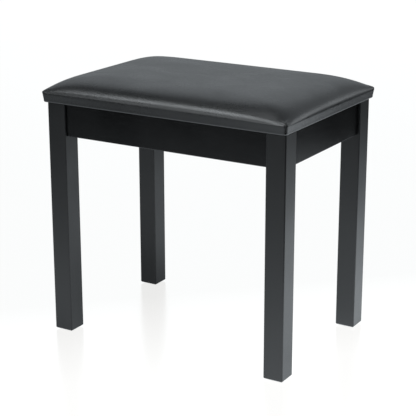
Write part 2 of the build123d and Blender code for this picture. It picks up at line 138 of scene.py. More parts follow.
def lacquered_wood(name, axis, place, dark, light, rough, specular, edge=0.5):
    """Satin black lacquer over closed-grain wood; the grain runs along axis (0 X, 1 Y, 2 Z)."""
    made, t = new_material(name)
    where = t.add("ShaderNodeTexCoord").outputs["Object"]
    long_scale = [70.0, 70.0, 70.0]
    long_scale[axis] = 3.5
    grain_at = t.stretch(where, long_scale, place)
    grain = t.noise(grain_at, 1.0, 6.0, 0.62, 0.35)
    pore_scale = [1500.0, 1500.0, 1500.0]
    pore_scale[axis] = 42.0
    pores = t.noise(t.stretch(where, pore_scale, place), 1.0, 3.0, 0.6)
    pore_dip = t.remap(pores, 0.56, 0.72, 0.0, 1.0, True)
    cloud = t.noise(where, 9.0, 3.0, 0.5)
    peel = t.noise(where, 620.0, 2.0, 0.5)
    # handling polishes the eased edges a little; their lighter tone is partly real rubbed wear and partly a painted
    # highlight along the edges
    face = t.add("ShaderNodeNewGeometry").outputs["Normal"]
    eased = t.add("ShaderNodeBevel", {"Radius": 0.0022}, samples=6).outputs[0]
    off = t.add("ShaderNodeVectorMath", {0: face, 1: eased}, operation="DOT_PRODUCT").outputs["Value"]
    near_edge = t.remap(off, 0.995, 0.86, 0.0, 1.0, True)
    scuff = t.remap(t.noise(where, 85.0, 4.0, 0.65), 0.47, 0.66, 0.0, 1.0, True)
    worn_edge_sheen = t.math("MULTIPLY", t.math("MULTIPLY", near_edge, scuff), edge)
    tone = t.mix(t.remap(grain, 0.32, 0.7, 0.0, 1.0), dark, light)
    tone = t.mix(t.math("MULTIPLY", pore_dip, 0.35), tone, (0.002, 0.002, 0.0022, 1.0))
    # lighter eased edges: rubbed wear plus a painted edge highlight
    tone = t.mix(worn_edge_sheen, tone, (0.034, 0.033, 0.031, 1.0))
    gloss = t.math("ADD", t.remap(cloud, 0.3, 0.7, rough - 0.035, rough + 0.035), t.math("MULTIPLY", grain, 0.05))
    gloss = t.math("SUBTRACT", gloss, t.math("MULTIPLY", worn_edge_sheen, 0.08))
    high = t.math("ADD", t.math("MULTIPLY", pore_dip, -0.6), t.math("MULTIPLY", grain, 0.5))
    normal = t.bump(high, 0.16, 0.00025)
    normal = t.bump(peel, 0.08, 0.00012, normal)
    shader = t.add(
        "ShaderNodeBsdfPrincipled",
        {"Base Color": tone, "Roughness": gloss, "Normal": normal, "Specular IOR Level": specular, "IOR": 1.5},
    )
    t.finish(shader.outputs[0])
    return made


def hardboard(name):
    """Pressed fibre board with a smooth brown face."""
    made, t = new_material(name)
    where = t.add("ShaderNodeTexCoord").outputs["Object"]
    fibres = t.noise(where, 420.0, 5.0, 0.7, 1.4)
    flecks = t.noise(t.stretch(where, (160.0, 60.0, 160.0)), 1.0, 4.0, 0.65, 0.8)
    cloud = t.noise(where, 11.0, 3.0)
    tone = t.mix(t.remap(fibres, 0.3, 0.7, 0.0, 1.0), (0.105, 0.058, 0.030, 1.0), (0.205, 0.122, 0.066, 1.0))
    tone = t.mix(t.remap(flecks, 0.58, 0.74, 0.0, 0.55), tone, (0.060, 0.032, 0.018, 1.0))
    tone = t.mix(t.remap(cloud, 0.35, 0.7, 0.0, 0.35), tone, (0.150, 0.090, 0.052, 1.0))
    normal = t.bump(fibres, 0.2, 0.0003)
    shader = t.add(
        "ShaderNodeBsdfPrincipled",
        {"Base Color": tone, "Roughness": t.remap(flecks, 0.3, 0.7, 0.46, 0.62), "Normal": normal},
    )
    t.finish(shader.outputs[0])
    return made


def plywood(name):
    """Birch plywood: pale faces, ply lines on the edge."""
    made, t = new_material(name)
    where = t.add("ShaderNodeTexCoord").outputs["Object"]
    grain = t.noise(t.stretch(where, (4.0, 90.0, 90.0)), 1.0, 6.0, 0.6, 0.5)
    tone = t.mix(t.remap(grain, 0.3, 0.7, 0.0, 1.0), (0.50, 0.36, 0.21, 1.0), (0.66, 0.52, 0.34, 1.0))
    height = t.add("ShaderNodeSeparateXYZ", {0: where}).outputs[2]
    ply = t.math("SINE", t.math("MULTIPLY", height, 2 * math.pi / 0.0034))
    across = t.math("ABSOLUTE", t.add("ShaderNodeSeparateXYZ", {0: t.add("ShaderNodeNewGeometry").outputs["Normal"]}).outputs[2])
    on_edge = t.remap(across, 0.3, 0.7, 1.0, 0.0)
    tone = t.mix(t.math("MULTIPLY", t.remap(ply, 0.1, 0.5, 0.0, 0.6), on_edge), tone, (0.28, 0.17, 0.09, 1.0))
    shader = t.add(
        "ShaderNodeBsdfPrincipled",
        {"Base Color": tone, "Roughness": t.remap(grain, 0.3, 0.7, 0.55, 0.7), "Normal": t.bump(grain, 0.2, 0.0003)},
    )
    t.finish(shader.outputs[0])
    return made


def foam(name):
    """Open-cell upholstery foam."""
    made, t = new_material(name)
    where = t.add("ShaderNodeTexCoord").outputs["Object"]
    cells = t.add("ShaderNodeTexVoronoi", {"Vector": where, "Scale": 900.0}, feature="F1").outputs["Distance"]
    cloud = t.noise(where, 30.0, 3.0)
    tone = t.mix(t.remap(cells, 0.1, 0.7, 0.0, 1.0), (0.78, 0.68, 0.42, 1.0), (0.62, 0.50, 0.26, 1.0))
    tone = t.mix(t.remap(cloud, 0.4, 0.7, 0.0, 0.3), tone, (0.70, 0.60, 0.36, 1.0))
    shader = t.add(
        "ShaderNodeBsdfPrincipled",
        {"Base Color": tone, "Roughness": t.remap(cells, 0.0, 1.0, 0.85, 1.0), "Normal": t.bump(cells, 0.5, 0.0005)},
    )
    t.finish(shader.outputs[0])
    return made


def vinyl(name):
    """Black upholstery vinyl with a fine pebbled grain."""
    made, t = new_material(name)
    where = t.add("ShaderNodeTexCoord").outputs["Object"]
    wander = t.add("ShaderNodeTexNoise", {"Vector": where, "Scale": 260.0, "Detail": 2.0}).outputs["Color"]
    bent = t.add("ShaderNodeVectorMath", {0: wander, "Scale": 0.0011}, operation="SCALE").outputs[0]
    bent = t.add("ShaderNodeVectorMath", {0: where, 1: bent}, operation="ADD").outputs[0]
    crease = t.add("ShaderNodeTexVoronoi", {"Vector": bent, "Scale": 640.0}, feature="DISTANCE_TO_EDGE").outputs["Distance"]
    pebble = t.remap(crease, 0.0, 0.22, 0.0, 1.0, True)
    fine = t.noise(where, 1900.0, 3.0, 0.6)
    cloud = t.noise(where, 16.0, 4.0, 0.55)
    rubbed = t.noise(t.stretch(where, (9.0, 14.0, 14.0)), 1.0, 5.0, 0.6, 0.6)
    tone = t.mix(pebble, (0.0040, 0.0041, 0.0044, 1.0), (0.0085, 0.0088, 0.0094, 1.0))
    tone = t.mix(t.remap(cloud, 0.4, 0.75, 0.0, 0.45), tone, (0.0120, 0.0124, 0.0130, 1.0))
    gloss = t.remap(rubbed, 0.3, 0.7, 0.25, 0.34)
    gloss = t.math("ADD", gloss, t.remap(pebble, 0.0, 1.0, 0.05, -0.02))
    normal = t.bump(pebble, 0.16, 0.00022)
    normal = t.bump(fine, 0.10, 0.00010, normal)
    normal = t.bump(rubbed, 0.03, 0.0030, normal)
    shader = t.add(
        "ShaderNodeBsdfPrincipled",
        {"Base Color": tone, "Roughness": gloss, "Normal": normal, "Specular IOR Level": 0.75, "IOR": 1.5},
    )
    t.finish(shader.outputs[0])
    return made


def dust_cloth(name):
    """Spun-bonded lining cloth with a point-bond pattern."""
    made, t = new_material(name)
    where = t.add("ShaderNodeTexCoord").outputs["Object"]
    turned = t.stretch(where, (1.0, 1.0, 1.0), turn=(0.0, 0.0, math.radians(45)))
    split = t.add("ShaderNodeSeparateXYZ", {0: turned})
    waves = []
    for i in (0, 1):
        waves.append(t.math("SINE", t.math("MULTIPLY", split.outputs[i], 2 * math.pi / 0.0019)))
    dots = t.remap(t.math("MULTIPLY", waves[0], waves[1]), 0.35, 0.8, 0.0, 1.0, True)
    fibres = t.noise(where, 900.0, 5.0, 0.75, 1.8)
    blotch = t.noise(where, 55.0, 4.0, 0.6)
    tone = t.mix(t.remap(fibres, 0.35, 0.65, 0.0, 1.0), (0.0075, 0.0075, 0.0080, 1.0), (0.034, 0.034, 0.036, 1.0))
    tone = t.mix(t.math("MULTIPLY", dots, 0.6), tone, (0.010, 0.010, 0.0105, 1.0))
    tone = t.mix(t.remap(blotch, 0.45, 0.75, 0.0, 0.4), tone, (0.026, 0.026, 0.027, 1.0))
    high = t.math("SUBTRACT", t.math("MULTIPLY", fibres, 0.6), t.math("MULTIPLY", dots, 0.8))
    shader = t.add(
        "ShaderNodeBsdfPrincipled",
        {
            "Base Color": tone,
            "Roughness": t.remap(dots, 0.0, 1.0, 0.86, 0.62),
            "Normal": t.bump(high, 0.5, 0.0003),
            "Sheen Weight": 0.15,
            "Sheen Roughness": 0.5,
        },
    )
    t.finish(shader.outputs[0])
    return made


def metal(name, tint, dull, rough, spangle, brushed=None):
    """Plated steel: spangle or draw marks, dulled in patches."""
    made, t = new_material(name)
    where = t.add("ShaderNodeTexCoord").outputs["Object"]
    flake = t.add("ShaderNodeTexVoronoi", {"Vector": where, "Scale": spangle}, feature="F1").outputs["Color"]
    flake = t.add("ShaderNodeSeparateColor", {0: flake}).outputs[0]
    haze = t.noise(where, 140.0, 5.0, 0.65)
    tone = t.mix(t.remap(flake, 0.0, 1.0, 0.0, 0.5), tint, dull)
    tone = t.mix(t.remap(haze, 0.5, 0.72, 0.0, 0.7), tone, dull)
    gloss = t.math("ADD", t.remap(haze, 0.3, 0.7, rough - 0.06, rough + 0.12), t.math("MULTIPLY", flake, 0.05))
    marks = haze
    if brushed is not None:
        marks = t.noise(t.stretch(where, brushed), 1.0, 4.0, 0.6)
        gloss = t.math("ADD", gloss, t.remap(marks, 0.3, 0.7, -0.04, 0.06))
    shader = t.add(
        "ShaderNodeBsdfPrincipled",
        {"Base Color": tone, "Roughness": gloss, "Metallic": 1.0, "Normal": t.bump(marks, 0.12, 0.0002)},
    )
    t.finish(shader.outputs[0])
    return made


def rubber(name):
    made, t = new_material(name)
    where = t.add("ShaderNodeTexCoord").outputs["Object"]
    dust = t.noise(where, 700.0, 4.0, 0.7)
    cloud = t.noise(where, 90.0, 3.0)
    tone = t.mix(t.remap(dust, 0.5, 0.75, 0.0, 0.6), (0.012, 0.012, 0.0122, 1.0), (0.040, 0.039, 0.037, 1.0))
    shader = t.add(
        "ShaderNodeBsdfPrincipled",
        {"Base Color": tone, "Roughness": t.remap(cloud, 0.3, 0.7, 0.66, 0.82), "Normal": t.bump(dust, 0.25, 0.0003)},
    )
    t.finish(shader.outputs[0])
    return made


def moulded_plastic(name):
    """Black polyethylene glide, fine spark-eroded texture, scuffed underneath."""
    made, t = new_material(name)
    where = t.add("ShaderNodeTexCoord").outputs["Object"]
    spark = t.noise(where, 2600.0, 3.0, 0.6)
    scuff = t.noise(t.stretch(where, (900.0, 120.0, 400.0), turn=(0.0, 0.0, 0.6)), 1.0, 4.0, 0.65)
    tone = t.mix(t.remap(scuff, 0.52, 0.72, 0.0, 0.7), (0.016, 0.016, 0.0165, 1.0), (0.060, 0.059, 0.057, 1.0))
    shader = t.add(
        "ShaderNodeBsdfPrincipled",
        {"Base Color": tone, "Roughness": t.remap(scuff, 0.3, 0.7, 0.42, 0.60), "Normal": t.bump(spark, 0.2, 0.0002)},
    )
    t.finish(shader.outputs[0])
    return made


LEG_DARK, LEG_LIGHT = (0.0042, 0.0043, 0.0045, 1.0), (0.0070, 0.0072, 0.0075, 1.0)
# the rails use a darker copy of the leg lacquer: painted shade for the rails recessed under the seat's overhang
RAIL_SHADED_DARK, RAIL_SHADED_LIGHT = (0.0018, 0.0019, 0.0020, 1.0), (0.0036, 0.0037, 0.0039, 1.0)
legs = {
    "leg_front_left": (0.3, 0.1, 0.0),
    "leg_front_right": (1.7, 0.6, 0.4),
    "leg_rear_left": (2.9, 1.1, 0.9),
    "leg_rear_right": (4.1, 1.9, 1.3),
}
rails = {
    "front_rail": (0, (0.2, 3.1, 0.7)),
    "rear_rail": (0, (1.4, 4.3, 1.9)),
    "left_rail": (1, (5.2, 0.4, 2.8)),
    "right_rail": (1, (6.6, 1.3, 3.7)),
}
finish_of = {}
for name, place in legs.items():
    finish_of[name] = lacquered_wood("black_wood_" + name, 2, place, LEG_DARK, LEG_LIGHT, 0.36, 0.5)
for name, (axis, place) in rails.items():
    # painted shade: the side rails get less sheen than the front and rear rails, though the finish is the same
    sheen = (0.21, 0.43) if axis == 0 else (0.19, 0.19)
    finish_of[name] = lacquered_wood("black_wood_" + name, axis, place, RAIL_SHADED_DARK, RAIL_SHADED_LIGHT, *sheen)
zinc = metal("zinc_steel", (0.62, 0.63, 0.64, 1.0), (0.40, 0.41, 0.42, 1.0), 0.34, 260.0)
nickel = metal("hinge_steel", (0.60, 0.585, 0.56, 1.0), (0.36, 0.35, 0.335, 1.0), 0.26, 420.0, (60.0, 2200.0, 2200.0))
for name in (
    "corner_plate_front_left", "corner_plate_front_right", "corner_plate_rear_left", "corner_plate_rear_right",
    "corner_plate_screws", "hanger_bolts", "flat_washers", "spring_washers", "hex_nuts", "glide_nails", "cover_staples",
):
    finish_of[name] = zinc
for name in (
    "left_hinge_frame_leaf", "left_hinge_lid_leaf", "left_hinge_pin", "right_hinge_frame_leaf",
    "right_hinge_lid_leaf", "right_hinge_pin", "hinge_frame_screws", "hinge_lid_screws",
):
    finish_of[name] = nickel
finish_of["compartment_floor"] = hardboard("floor_board")
finish_of["seat_board"] = plywood("plywood")
finish_of["lid_bumpers"] = rubber("bumper_rubber")
finish_of["foot_glides"] = moulded_plastic("glide_plastic")
for name, material in finish_of.items():
    mesh = nodes[name].data
    mesh.materials.clear()
    mesh.materials.append(material)
    mesh.polygons.foreach_set("material_index", [0] * len(mesh.polygons))


# ---------------------------------------------------------------- seat pad
SHOULDER_Z = 461.0
HALF_X, HALF_Y, CORNER_R = 251.5, 175.0, 7.0
CROWN_H, CROWN_W, CROWN_P = 30.0, 105.0, 2.7
# at the front left, front right, rear left and rear right corner
FULL = (3.4, 3.4, 2.7, 2.3)
TIGHT = (0.00, 0.40, 0.04, 0.10)
RAMP = (0.0, 0.85, 0.0, 0.0)
NOSE_H, NOSE_W = 4.6, 6.0                # short steep roll that goes round the corners too
RAMP_H, RAMP_W = 5.4, 7.0                # slanted strip instead of that roll
VINYL_T = 0.95
FLAT_X, FLAT_Y = HALF_X - CORNER_R, HALF_Y - CORNER_R


def crown(x, y):
    """Height of the vinyl above the shoulder line, in mm: upright at the shoulder, rolling over to a flat middle."""
    in_x, in_y = np.maximum(HALF_X - np.abs(x), 0), np.maximum(HALF_Y - np.abs(y), 0)
    # the roll is drawn tighter and lower near the corners, and the corners are filled, not equally at all four
    tight, full, ramp = (
        np.where(y < 0, np.where(x < 0, at[0], at[1]), np.where(x < 0, at[2], at[3])) for at in (TIGHT, FULL, RAMP)
    )
    # each corner's own shape ends at the middle of the sides, without a step
    fade_x, fade_y = (1 - np.clip(in_x / HALF_X, 0, 1) ** 4) ** 2, (1 - np.clip(in_y / HALF_Y, 0, 1) ** 4) ** 2
    slow_x = 1 - tight * np.exp(-((in_y / 130.0) ** 2)) * fade_y * np.exp(-in_x / 20.0)
    slow_y = 1 - tight * np.exp(-((in_x / 130.0) ** 2)) * fade_x * np.exp(-in_y / 20.0)
    a = 1 - np.clip(in_x * slow_x / CROWN_W, 0, 1)
    b = 1 - np.clip(in_y * slow_y / CROWN_W, 0, 1)
    near_edge = (1 - (1 - a**full) * (1 - b**full)) ** (CROWN_P / full)
    ramp = ramp * np.exp(-(in_x**2 + in_y**2) / 95.0**2) * fade_x * fade_y
    soft = 0.0039 * ramp**2
    high = CROWN_H * (np.sqrt(np.clip(1 - near_edge, 0, 1) + soft) - np.sqrt(soft))
    inset = CORNER_R - np.hypot(np.maximum(CORNER_R - in_x, 0), np.maximum(CORNER_R - in_y, 0))
    nose = NOSE_H * np.sqrt(1 - (1 - np.clip(inset / NOSE_W, 0, 1)) ** 2)
    nose = nose + ramp * (RAMP_H * np.sin(0.5 * math.pi * np.clip(inset / RAMP_W, 0, 1)) - nose)
    return np.cbrt(high**3 + nose**3)


def steps(half, main):
    """Positions from -half to half: close together at the rim, then wider."""
    rim = list(CORNER_R * (np.arange(17) / 16.0) ** 2)
    near = list(CORNER_R + np.cumsum([0.9, 1.2, 1.5, 1.9, 2.3, 2.8, 3.3, 3.8, 4.3]))
    inner = half - near[-1]
    count = int(math.ceil(2 * inner / main))
    middle = list(np.linspace(-inner, inner, count + 1))
    left = [-half + v for v in rim + near[:-1]]
    return np.array(left + middle + [-v for v in reversed(left)])


def pull_corner(x, y, half_x, half_y, radius):
    """Moves points of a square-cornered outline onto the rounded one."""
    u = (np.abs(x) - (half_x - radius)) / radius
    v = (np.abs(y) - (half_y - radius)) / radius
    inside = (u > 0) & (v > 0)
    uu, vv = np.clip(u, 0, 1), np.clip(v, 0, 1)
    px = (half_x - radius) + radius * uu * np.sqrt(1 - vv**2 / 2)
    py = (half_y - radius) + radius * vv * np.sqrt(1 - uu**2 / 2)
    return np.where(inside, np.sign(x) * px, x), np.where(inside, np.sign(y) * py, y)


def draw_in(points):
    """The sides of the pad pull in between the corners, most at the shoulder, least along the board's lower edge."""
    x, y, z = points.T
    share = 0.15 + 0.85 * np.clip((z - 445.0) / 15.0, 0, 1)
    side_x = np.clip((np.abs(x) - (HALF_X - 45.0)) / 45.0, 0, 1)
    side_y = np.clip((np.abs(y) - (HALF_Y - 45.0)) / 45.0, 0, 1)
    in_x = 0.9 * np.clip(1 - (y / FLAT_Y) ** 2, 0, 1) * side_x * share
    in_y = 1.1 * np.clip(1 - (x / FLAT_X) ** 2, 0, 1) * side_y * share
    return np.stack([x - np.sign(x) * in_x, y - np.sign(y) * in_y, z], -1)


xs, ys = steps(HALF_X, 5.0), steps(HALF_Y, 5.0)


def mesh_object(name, points, faces, smooth=True):
    mesh = bpy.data.meshes.new(name)
    mesh.from_pydata([tuple(p) for p in points], [], faces)
    mesh.validate()
    mesh.update()
    made = bpy.data.objects.new(name, mesh)
    scene.collection.objects.link(made)
    if smooth:
        mesh.polygons.foreach_set("use_smooth", [True] * len(mesh.polygons))
    return made


def apply_modifiers(obj):
    graph = bpy.context.evaluated_depsgraph_get()
    done = bpy.data.meshes.new_from_object(obj.evaluated_get(graph))
    old = obj.data
    obj.modifiers.clear()
    obj.data = done
    bpy.data.meshes.remove(old)


def grid_faces(nx, ny):
    return [
        (i * ny + j, (i + 1) * ny + j, (i + 1) * ny + j + 1, i * ny + j + 1)
        for i in range(nx - 1)
        for j in range(ny - 1)
    ]


def smoothed(field, rounds):
    for _ in range(rounds):
        wide = np.pad(field, 1, mode="edge")
        field = (wide[:-2, 1:-1] + wide[2:, 1:-1] + wide[1:-1, :-2] + wide[1:-1, 2:] + 2 * field) / 6
    return field


def on_grid(gx, gy, field, x, y):
    """Bilinear reading of a field at points."""
    i = np.clip((x - gx[0]) / (gx[1] - gx[0]), 0, len(gx) - 1.001)
    j = np.clip((y - gy[0]) / (gy[1] - gy[0]), 0, len(gy) - 1.001)
    a, b = i.astype(int), j.astype(int)
    u, v = i - a, j - b
    return (
        field[a, b] * (1 - u) * (1 - v)
        + field[a + 1, b] * u * (1 - v)
        + field[a, b + 1] * (1 - u) * v
        + field[a + 1, b + 1] * u * v
    )


def run_cloth(obj, shape, pinned, **settings):
    """Twenty frames of cloth on a grid mesh; gives the moved points in mm."""
    obj.vertex_groups.new(name="held").add([int(k) for k in pinned], 1.0, "REPLACE")
    mod = obj.modifiers.new("cloth", "CLOTH")
    s = mod.settings
    s.quality = 6
    s.vertex_group_mass = "held"
    s.tension_damping = s.compression_damping = s.shear_damping = 25
    s.air_damping = 4
    gravity = settings.pop("gravity")
    for key, value in settings.items():
        setattr(s, key, value)
    s.effector_weights.gravity = gravity
    mod.collision_settings.use_collision = False
    mod.point_cache.frame_start, mod.point_cache.frame_end = 1, 20
    for f in range(1, 21):
        scene.frame_set(f)
    graph = bpy.context.evaluated_depsgraph_get()
    done = obj.evaluated_get(graph).to_mesh()
    co = np.zeros(len(done.vertices) * 3, np.float32)
    done.vertices.foreach_get("co", co)
    scene.frame_set(1)
    bpy.data.objects.remove(obj)
    return co.reshape(shape + (3,)).astype(float) / mm


def swell():
    """Cloth under pressure, held along the shoulder: how far the vinyl stands from the plain crown, on a grid."""
    nx, ny = 101, 71
    gx, gy = np.linspace(-HALF_X, HALF_X, nx), np.linspace(-HALF_Y, HALF_Y, ny)
    X, Y = np.meshgrid(gx, gy, indexing="ij")
    # it starts a little lower than the pad
    points = np.stack([X, Y, SHOULDER_Z + 0.95 * crown(X, Y)], -1).reshape(-1, 3) * mm
    cloth = mesh_object("swell", points, grid_faces(nx, ny))
    rim = [i * ny + j for i in range(nx) for j in range(ny) if i in (0, nx - 1) or j in (0, ny - 1)]
    co = run_cloth(
        cloth, (nx, ny), rim, gravity=0, mass=0.35, tension_stiffness=60, compression_stiffness=60,
        shear_stiffness=30, bending_stiffness=6.0, use_pressure=True, uniform_pressure_force=4.0, shrink_min=0.004,
    )
    rise = co[:, :, 2] - (SHOULDER_Z + crown(X, Y))
    print("swell mm: mean %.2f min %.2f max %.2f" % (rise.mean(), rise.min(), rise.max()))
    # only the uneven part is kept, and little of it: the height comes from the pad, and the vinyl is stretched tight
    uneven = np.clip(rise - smoothed(rise, 60), -1.6, 1.6)
    inset = np.minimum(HALF_X - np.abs(X), HALF_Y - np.abs(Y))
    share = np.clip((inset - 8.0) / 40.0, 0, 1)
    uneven = smoothed(uneven, 2) * 0.16 * share**2 * (3 - 2 * share)
    print("kept mm: min %.3f max %.3f std %.3f" % (uneven.min(), uneven.max(), uneven.std()))
    return gx, gy, uneven


def corner_gather(x, y):
    """Cover gathered into the corner folds: a crease on the diagonal and soft rays beside it."""
    u, v = HALF_X - np.abs(x) - 2.0, HALF_Y - np.abs(y) - 2.0
    along, across = (u + v) / math.sqrt(2), (u - v) / math.sqrt(2)
    reach = np.sqrt(along**2 + across**2)
    wide = 0.7 + 0.10 * np.clip(along, 0, 60)
    crease = -0.75 * np.exp(-0.5 * (across / wide) ** 2) * np.exp(-np.clip(along, 0, 200) / 7.0)
    angle = np.arctan2(across, np.maximum(along, 0.3))
    rays = 0.30 * np.cos(9.0 * angle) * np.exp(-((reach - 9.0) / 9.0) ** 2)
    tip = 0.7 * np.exp(-((reach / 2.6) ** 2))
    return crease * (1 - np.exp(-((reach / 4.5) ** 2))) - rays + tip


def cover_mesh(lift):
    """Outer surface of the vinyl: crown, edge band, and the hem wrapped under the board."""
    nx, ny = len(xs), len(ys)
    X, Y = np.meshgrid(xs, ys, indexing="ij")
    PX, PY = pull_corner(X, Y, HALF_X, HALF_Y, CORNER_R)
    Z = SHOULDER_Z + crown(PX, PY) + lift(PX, PY) + corner_gather(PX, PY)
    points = list(np.stack([PX, PY, Z], -1).reshape(-1, 3))
    faces = grid_faces(nx, ny)
    # boundary, counter-clockwise from above
    ring = [(i, 0) for i in range(nx - 1)] + [(nx - 1, j) for j in range(ny - 1)]
    ring += [(i, ny - 1) for i in range(nx - 1, 0, -1)] + [(0, j) for j in range(ny - 1, 0, -1)]
    bx = np.array([X[i, j] for i, j in ring])
    by = np.array([Y[i, j] for i, j in ring])
    rim_z = np.array([Z[i, j] for i, j in ring])
    previous = [i * ny + j for i, j in ring]
    # level, half X, half Y, corner radius
    levels = [
        (460.6, 251.50, 175.00, 7.0),
        (460.0, 251.46, 174.96, 7.0),
        (459.2, 251.34, 174.88, 7.0),
        (458.0, 251.14, 174.73, 7.0),
        (456.4, 250.87, 174.53, 7.0),
        (454.6, 250.57, 174.30, 7.0),
        (452.8, 250.27, 174.08, 7.0),
        (451.0, 249.97, 173.85, 7.0),
        (449.2, 249.72, 173.68, 7.0),
        (447.8, 249.56, 173.56, 7.0),
        (446.9, 249.42, 173.42, 6.9),
        (446.2, 249.14, 173.14, 6.7),
        (445.65, 248.72, 172.72, 6.4),
        (445.28, 248.16, 172.16, 6.1),
        (445.12, 247.40, 171.40, 5.8),
        (445.1, 245.00, 169.00, 5.2),
        (445.1, 240.00, 164.00, 4.6),
        (445.1, 232.00, 156.00, 4.0),
        (445.1, 224.00, 148.00, 3.5),
        (445.1, 215.50, 139.50, 3.0),
    ]
    u = np.clip((np.abs(bx) - FLAT_X) / CORNER_R, 0, 1)
    v = np.clip((np.abs(by) - FLAT_Y) / CORNER_R, 0, 1)
    out_x, out_y = u * np.sqrt(1 - v**2 / 2), v * np.sqrt(1 - u**2 / 2)
    swing = np.arctan2(out_y, out_x)
    out_x, out_y = np.sign(bx) * np.cos(swing), np.sign(by) * np.sin(swing)
    # distance along the outline from the fold in the middle of the corner, positive on the long sides
    along = CORNER_R * (swing - math.pi / 4)
    along = along + np.where(v >= 1, np.clip(FLAT_X - np.abs(bx), 0, None), 0)
    along = along - np.where(u >= 1, np.clip(FLAT_Y - np.abs(by), 0, None), 0)
    groove = np.exp(-0.5 * (along / 0.65) ** 2)
    lap = 0.40 * np.exp(-np.abs(along) / 2.4) * np.where(along < 0, -1.0, 0.35)
    for level, hx, hy, radius in levels:
        x = np.where(np.abs(bx) > FLAT_X, np.sign(bx) * (hx - radius + radius * u), bx * (hx - radius) / FLAT_X)
        y = np.where(np.abs(by) > FLAT_Y, np.sign(by) * (hy - radius + radius * v), by * (hy - radius) / FLAT_Y)
        x, y = pull_corner(x, y, hx, hy, radius)
        z = level + (rim_z - SHOULDER_Z) * max(0.0, (level - 452.0) / 9.0)
        under = min(max((hx - 246.0) / 3.0, 0.0), 1.0)
        # the fold gets shallower towards the lower edge, where the board is close behind it
        deep = min(max((level - 446.2) * 0.22, 0.05), 1.65) * min(1.0, (461.6 - level) / 1.6)
        over = min(1.0, (461.0 - level) / 3.0) * min(max((level - 446.0) / 5.0, 0.2), 1.0)
        inward = (groove * deep - lap * over) * under
        base = len(points)
        points.extend(np.stack([x - out_x * inward, y - out_y * inward, z], -1))
        now = list(range(base, base + len(ring)))
        count = len(ring)
        for k in range(count):
            n = (k + 1) % count
            faces.append((previous[k], now[k], now[n], previous[n]))
        previous = now
    return draw_in(np.array(points)), faces


swell_grid = swell()

def lift(x, y):
    return on_grid(*swell_grid, x, y)

cover_points, cover_faces = cover_mesh(lift)
cover = mesh_object("seat_cover_vinyl", cover_points * mm, cover_faces)
thick = cover.modifiers.new("thickness", "SOLIDIFY")
thick.thickness = VINYL_T * mm
thick.offset = -1.0
thick.use_rim = True
apply_modifiers(cover)
cover.data.polygons.foreach_set("use_smooth", [True] * len(cover.data.polygons))
cover.data.materials.clear()
cover.data.materials.append(vinyl("black_vinyl"))
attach(cover, "lid")
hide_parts("seat_cover")


# foam under the vinyl: its own crowned closed form on the board
def foam_mesh():
    nx, ny = 61, 43
    gx, gy = np.linspace(-1, 1, nx), np.linspace(-1, 1, ny)
    # closer together towards the rim
    ease = lambda t: np.sign(t) * (1 - (1 - np.abs(t)) ** 1.6)
    half_x, half_y, radius = HALF_X - 1.3, HALF_Y - 1.3, 10.5
    X, Y = np.meshgrid(ease(gx) * half_x, ease(gy) * half_y, indexing="ij")
    PX, PY = pull_corner(X, Y, half_x, half_y, radius)
    Z = SHOULDER_Z - 1.6 + crown(PX * HALF_X / half_x, PY * HALF_Y / half_y)
    points = list(np.stack([PX, PY, Z], -1).reshape(-1, 3))
    faces = grid_faces(nx, ny)
    ring = [(i, 0) for i in range(nx - 1)] + [(nx - 1, j) for j in range(ny - 1)]
    ring += [(i, ny - 1) for i in range(nx - 1, 0, -1)] + [(0, j) for j in range(ny - 1, 0, -1)]
    previous = [i * ny + j for i, j in ring]
    count = len(ring)
    outline = np.array([points[k] for k in previous])
    for shrink, level in ((0.9985, 458.9), (0.9965, 458.35), (0.992, 458.15)):
        base = len(points)
        low = outline * np.array([shrink, shrink, 0.0])
        low[:, 2] = level
        points.extend(low)
        now = list(range(base, base + count))
        for k in range(count):
            n = (k + 1) % count
            faces.append((previous[k], now[k], now[n], previous[n]))
        previous = now
    middle = len(points)
    points.append(np.array([0.0, 0.0, 458.15]))
    for k in range(count):
        faces.append((previous[k], middle, previous[(k + 1) % count]))
    return draw_in(np.array(points)) * mm, faces


pad = mesh_object("seat_foam_pad", *foam_mesh())
pad.data.materials.append(foam("foam"))
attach(pad, "lid")
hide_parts("seat_foam")


# dust cover: lining cloth stapled under the board, drooping a little between the staples
def cloth_mesh():
    half_x, half_y = 236.0, 159.0
    nx, ny = 97, 65
    gx, gy = np.linspace(-half_x, half_x, nx), np.linspace(-half_y, half_y, ny)
    X, Y = np.meshgrid(gx, gy, indexing="ij")
    inset = np.minimum(half_x - np.abs(X), half_y - np.abs(Y))
    droop = 1.1 * (1 - (X / half_x) ** 2) * (1 - (Y / half_y) ** 2)
    ripple = 0.14 * np.cos(2 * np.pi * X / 36.0) * np.exp(-(half_y - np.abs(Y)) / 22.0)
    ripple += 0.14 * np.cos(2 * np.pi * Y / 32.0) * np.exp(-(half_x - np.abs(X)) / 22.0)
    ripple *= np.clip((inset - 3.0) / 10.0, 0, 1)
    Z = 445.06 - droop - ripple * 0.8
    points = np.stack([X, Y, Z], -1).reshape(-1, 3)
    faces = [
        (i * ny + j, i * ny + j + 1, (i + 1) * ny + j + 1, (i + 1) * ny + j)
        for i in range(nx - 1)
        for j in range(ny - 1)
    ]
    return points * mm, faces


cloth = mesh_object("dust_cover_cloth", *cloth_mesh())
thick = cloth.modifiers.new("thickness", "SOLIDIFY")
thick.thickness = 0.5 * mm
thick.offset = 1.0
apply_modifiers(cloth)
cloth.data.materials.append(dust_cloth("dust_cloth"))
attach(cloth, "lid")
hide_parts("dust_cover")


